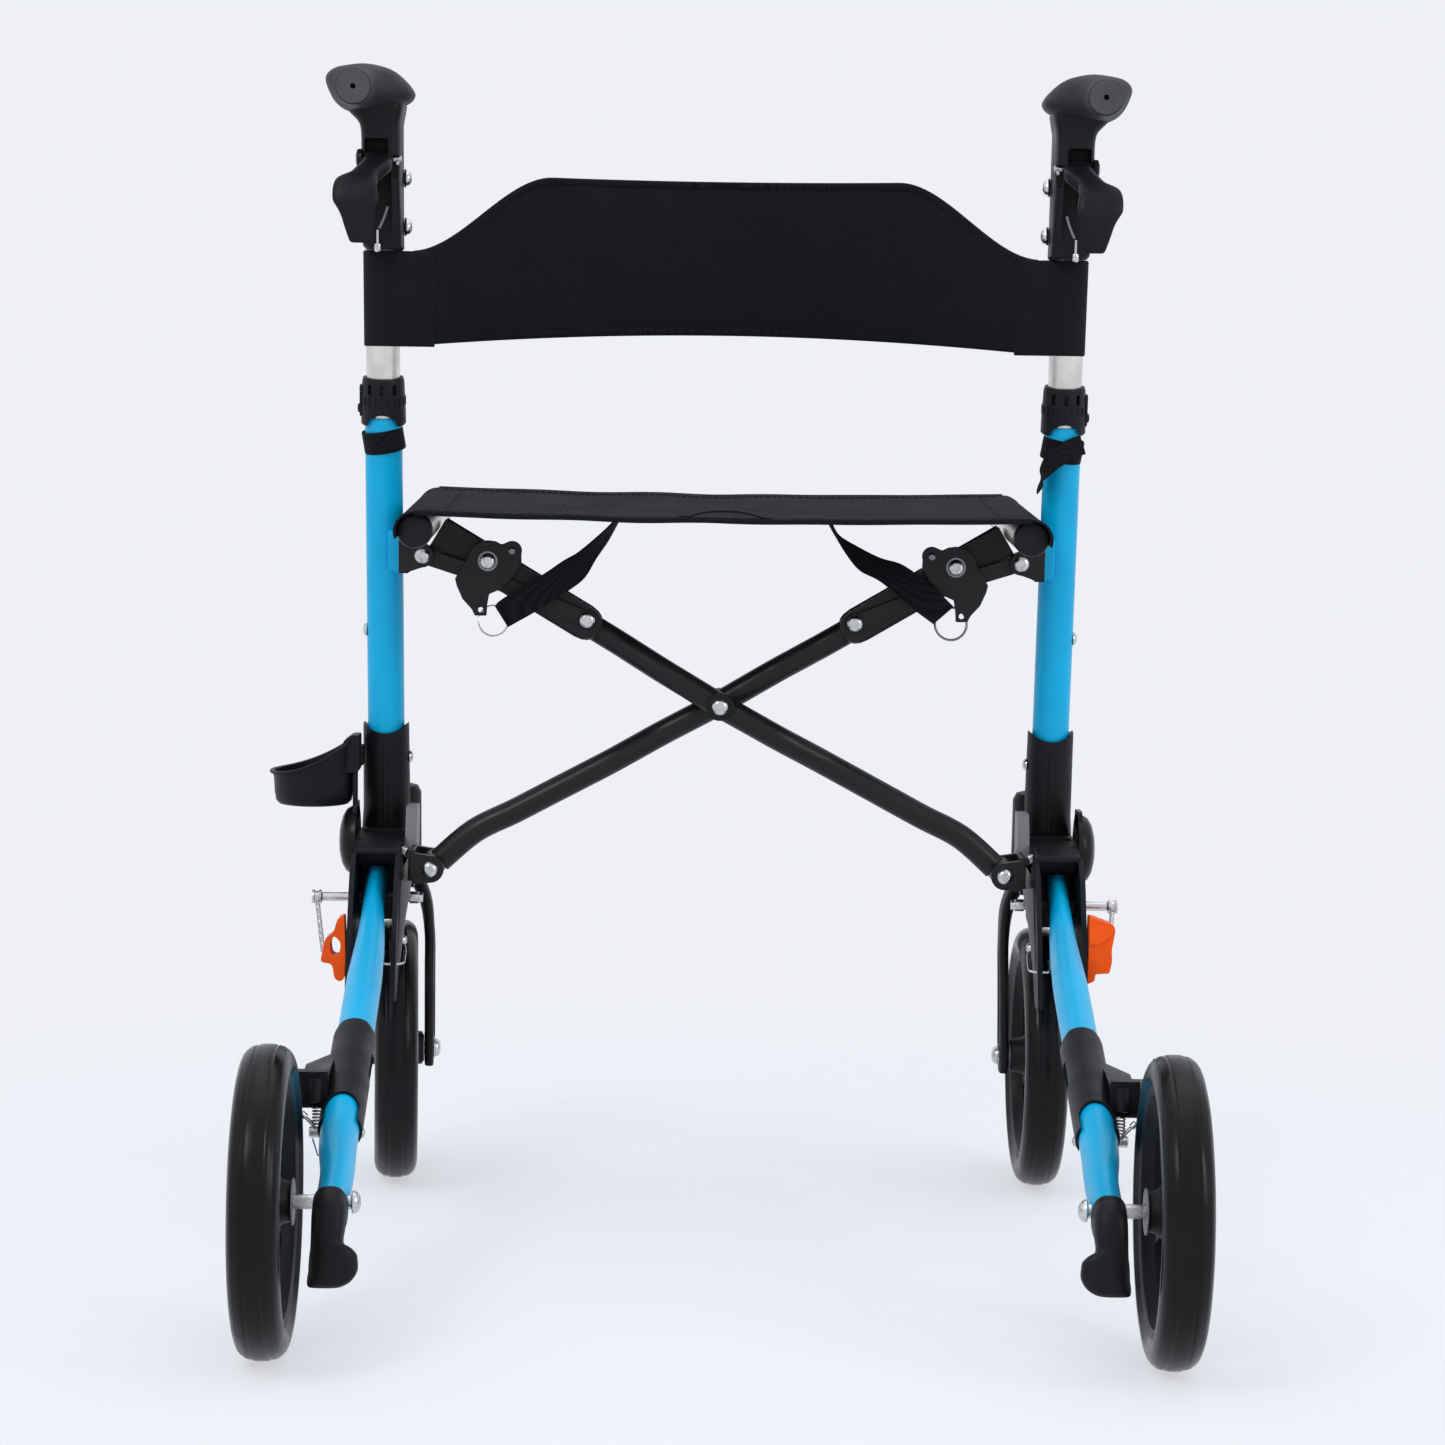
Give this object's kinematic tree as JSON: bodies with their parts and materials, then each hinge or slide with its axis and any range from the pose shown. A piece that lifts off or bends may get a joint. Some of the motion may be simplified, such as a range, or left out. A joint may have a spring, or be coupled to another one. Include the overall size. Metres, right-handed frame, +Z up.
{
  "type": "rollator walking frame",
  "caption": "Folding wheeled walking frame (rollator) in blue tube with a black sling seat, back strap, loop brakes and a clip-on stick cup.",
  "frame": {"origin": "on the floor at the centre of the footprint", "axes": "+Z up; +Y forwards, the way the user walks, so the user stands on the -Y side; +X to the user's right"},
  "size_m": [0.6468, 0.7428, 0.8443],
  "materials": {
    "blue_paint": "satin",
    "black_paint": "satin",
    "black_plastic": "matte",
    "grip_rubber": "matte",
    "tyre_rubber": "satin",
    "zinc_steel": "satin",
    "aluminium_tube": "satin",
    "black_fabric": "matte",
    "orange_plastic": "satin"
  },
  "bodies": {
    "left_frame": {"left_upright": "blue_paint", "left_leg_housing": "black_plastic", "left_brace_clevis": "black_paint", "left_seat_bracket": "black_paint", "left_height_collar": "black_plastic", "cup_holder": "black_plastic"},
    "left_leg": {"left_rear_leg": "blue_paint", "left_kick_step": "black_plastic", "left_brake_bracket": "black_plastic", "left_rear_axle": "zinc_steel", "left_leg_pivot_shaft": "zinc_steel"},
    "left_rear_wheel": {"left_rear_rim": "black_plastic", "left_rear_tyre": "tyre_rubber"},
    "left_brake_arm": {"left_brake_arm": "black_paint"},
    "left_release": {"left_release_lever": "orange_plastic"},
    "left_castor": {"left_castor_fork": "black_plastic", "left_front_axle": "zinc_steel"},
    "left_front_wheel": {"left_front_rim": "black_plastic", "left_front_tyre": "tyre_rubber"},
    "left_handle": {"left_height_post": "aluminium_tube", "left_handle_housing": "black_plastic", "left_handle_grip": "grip_rubber", "backrest_fabric": "black_fabric"},
    "left_lever": {"left_brake_lever": "black_plastic"},
    "left_link": {"left_frame_link": "black_paint"},
    "left_toggle": {"left_toggle_bar": "black_paint"},
    "left_hook": {"left_latch_hook": "black_paint"},
    "right_frame": {"right_upright": "blue_paint", "right_leg_housing": "black_plastic", "right_brace_clevis": "black_paint", "right_seat_bracket": "black_paint", "right_height_collar": "black_plastic"},
    "right_leg": {"right_rear_leg": "blue_paint", "right_kick_step": "black_plastic", "right_brake_bracket": "black_plastic", "right_rear_axle": "zinc_steel", "right_leg_pivot_shaft": "zinc_steel"},
    "right_rear_wheel": {"right_rear_rim": "black_plastic", "right_rear_tyre": "tyre_rubber"},
    "right_brake_arm": {"right_brake_arm": "black_paint"},
    "right_release": {"right_release_lever": "orange_plastic"},
    "right_castor": {"right_castor_fork": "black_plastic", "right_front_axle": "zinc_steel"},
    "right_front_wheel": {"right_front_rim": "black_plastic", "right_front_tyre": "tyre_rubber"},
    "right_handle": {"right_height_post": "aluminium_tube", "right_handle_housing": "black_plastic", "right_handle_grip": "grip_rubber"},
    "right_lever": {"right_brake_lever": "black_plastic"},
    "right_link": {"right_frame_link": "black_paint"},
    "right_toggle": {"right_toggle_bar": "black_paint"},
    "right_hook": {"right_latch_hook": "black_paint"},
    "brace_b": {"brace_b_brace_tube": "black_paint", "right_seat_arm": "black_paint", "right_seat_rail": "black_plastic", "centre_pivot_bolt": "zinc_steel"},
    "brace_a": {"brace_a_brace_tube": "black_paint", "left_seat_arm": "black_paint", "left_seat_rail": "black_plastic", "seat_fabric": "black_fabric"}
  },
  "joints": [
    {"name": "frame_fold", "type": "hinge", "parent": "left_frame", "child": "brace_b", "pos_m": [-0.2025, 0.2154, 0.2476], "axis": [0, -1, 0], "range_deg": [0, 44], "deforming": ["backrest_fabric"]},
    {"name": "brace_cross", "type": "hinge", "parent": "brace_b", "child": "brace_a", "pos_m": [0.0148, 0.2154, 0.3737], "axis": [0, -1, 0], "range_deg": [-88, 0], "deforming": ["seat_fabric"]},
    {"name": "right_fold", "type": "hinge", "parent": "brace_a", "child": "right_frame", "pos_m": [0.2321, 0.2154, 0.2476], "axis": [0, -1, 0], "range_deg": [0, 44]},
    {"name": "left_toggle_swing", "type": "hinge", "parent": "brace_a", "child": "left_toggle", "pos_m": [-0.086, 0.2013, 0.4375], "axis": [0, -1, 0], "range_deg": [0, 126.8]},
    {"name": "left_link_swing", "type": "hinge", "parent": "left_frame", "child": "left_link", "pos_m": [-0.2097, 0.1968, 0.4845], "axis": [0, -1, 0], "range_deg": [0, 102.7]},
    {"name": "left_hook_release", "type": "hinge", "parent": "brace_a", "child": "left_hook", "pos_m": [-0.1599, 0.1921, 0.4823], "axis": [0, -1, 0], "range_deg": [0, 25], "stiffness_Nm_per_rad": 0.35, "springref_deg": -14.32},
    {"name": "left_leg_fold", "type": "hinge", "parent": "left_frame", "child": "left_leg", "pos_m": [-0.2422, 0.1994, 0.225], "axis": [-0.9998, -0.0192, 0], "range_deg": [0, 78]},
    {"name": "left_rear_wheel_spin", "type": "hinge", "parent": "left_leg", "child": "left_rear_wheel", "pos_m": [-0.27267, -0.27127, 0.1], "axis": [0.9998, 0.0192, 0], "continuous": true},
    {"name": "left_castor_swivel", "type": "hinge", "parent": "left_frame", "child": "left_castor", "pos_m": [-0.2347, 0.2894, 0.2345], "axis": [0, 0, 1], "continuous": true},
    {"name": "left_front_wheel_spin", "type": "hinge", "parent": "left_castor", "child": "left_front_wheel", "pos_m": [-0.23149, 0.24953, 0.1], "axis": [0.9968, 0.0802, 0], "continuous": true},
    {"name": "left_handle_height", "type": "slide", "parent": "left_frame", "child": "left_handle", "axis": [0, -0.1668, 0.986], "range_m": [0, 0.12]},
    {"name": "left_brake_squeeze", "type": "hinge", "parent": "left_handle", "child": "left_lever", "pos_m": [-0.2542, 0.1624, 0.7765], "axis": [-1, 0, 0], "range_deg": [0, 14], "stiffness_Nm_per_rad": 0.5, "springref_deg": -14.32},
    {"name": "left_brake_apply", "type": "hinge", "parent": "left_leg", "child": "left_brake_arm", "pos_m": [-0.2759, -0.1033, 0.139], "axis": [0.9998, 0.0192, 0], "range_deg": [0, 0.8]},
    {"name": "left_leg_release", "type": "hinge", "parent": "left_frame", "child": "left_release", "pos_m": [-0.2702, 0.1594, 0.199], "axis": [-1, 0, 0], "range_deg": [0, 30], "stiffness_Nm_per_rad": 0.12, "springref_deg": -14.32},
    {"name": "right_toggle_swing", "type": "hinge", "parent": "brace_b", "child": "right_toggle", "pos_m": [0.1156, 0.2013, 0.4375], "axis": [0, -1, 0], "range_deg": [-126.8, 0]},
    {"name": "right_link_swing", "type": "hinge", "parent": "right_frame", "child": "right_link", "pos_m": [0.2393, 0.1968, 0.4845], "axis": [0, -1, 0], "range_deg": [-102.7, 0]},
    {"name": "right_hook_release", "type": "hinge", "parent": "brace_b", "child": "right_hook", "pos_m": [0.1895, 0.1921, 0.4823], "axis": [0, 1, 0], "range_deg": [0, 25], "stiffness_Nm_per_rad": 0.35, "springref_deg": -14.32},
    {"name": "right_leg_fold", "type": "hinge", "parent": "right_frame", "child": "right_leg", "pos_m": [0.2718, 0.1994, 0.225], "axis": [-0.9998, 0.0192, 0], "range_deg": [0, 78]},
    {"name": "right_rear_wheel_spin", "type": "hinge", "parent": "right_leg", "child": "right_rear_wheel", "pos_m": [0.30227, -0.27127, 0.1], "axis": [0.9998, -0.0192, 0], "continuous": true},
    {"name": "right_castor_swivel", "type": "hinge", "parent": "right_frame", "child": "right_castor", "pos_m": [0.2643, 0.2894, 0.2345], "axis": [0, 0, 1], "continuous": true},
    {"name": "right_front_wheel_spin", "type": "hinge", "parent": "right_castor", "child": "right_front_wheel", "pos_m": [0.2643, 0.2494, 0.1], "axis": [1, 0, 0], "continuous": true},
    {"name": "right_handle_height", "type": "slide", "parent": "right_frame", "child": "right_handle", "axis": [0, -0.1668, 0.986], "range_m": [0, 0.12]},
    {"name": "right_brake_squeeze", "type": "hinge", "parent": "right_handle", "child": "right_lever", "pos_m": [0.2838, 0.1624, 0.7765], "axis": [-1, 0, 0], "range_deg": [0, 14], "stiffness_Nm_per_rad": 0.5, "springref_deg": -14.32},
    {"name": "right_brake_apply", "type": "hinge", "parent": "right_leg", "child": "right_brake_arm", "pos_m": [0.3055, -0.1033, 0.139], "axis": [0.9998, -0.0192, 0], "range_deg": [0, 0.8]},
    {"name": "right_leg_release", "type": "hinge", "parent": "right_frame", "child": "right_release", "pos_m": [0.2998, 0.1594, 0.199], "axis": [-1, 0, 0], "range_deg": [0, 30], "stiffness_Nm_per_rad": 0.12, "springref_deg": -14.32}
  ],
  "couplings": [
    {"joint": "brace_cross", "follows": "frame_fold", "ratio": -2},
    {"joint": "right_fold", "follows": "frame_fold", "ratio": 1},
    {"joint": "left_toggle_swing", "follows": "frame_fold", "ratio": 2.8818},
    {"joint": "left_link_swing", "follows": "frame_fold", "ratio": 2.3341},
    {"joint": "left_brake_apply", "follows": "left_brake_squeeze", "ratio": 0.057143},
    {"joint": "right_toggle_swing", "follows": "frame_fold", "ratio": -2.8818},
    {"joint": "right_link_swing", "follows": "frame_fold", "ratio": -2.3341},
    {"joint": "right_brake_apply", "follows": "right_brake_squeeze", "ratio": 0.057143},
    {"joint": "right_handle_height", "follows": "left_handle_height", "ratio": 1}
  ]
}
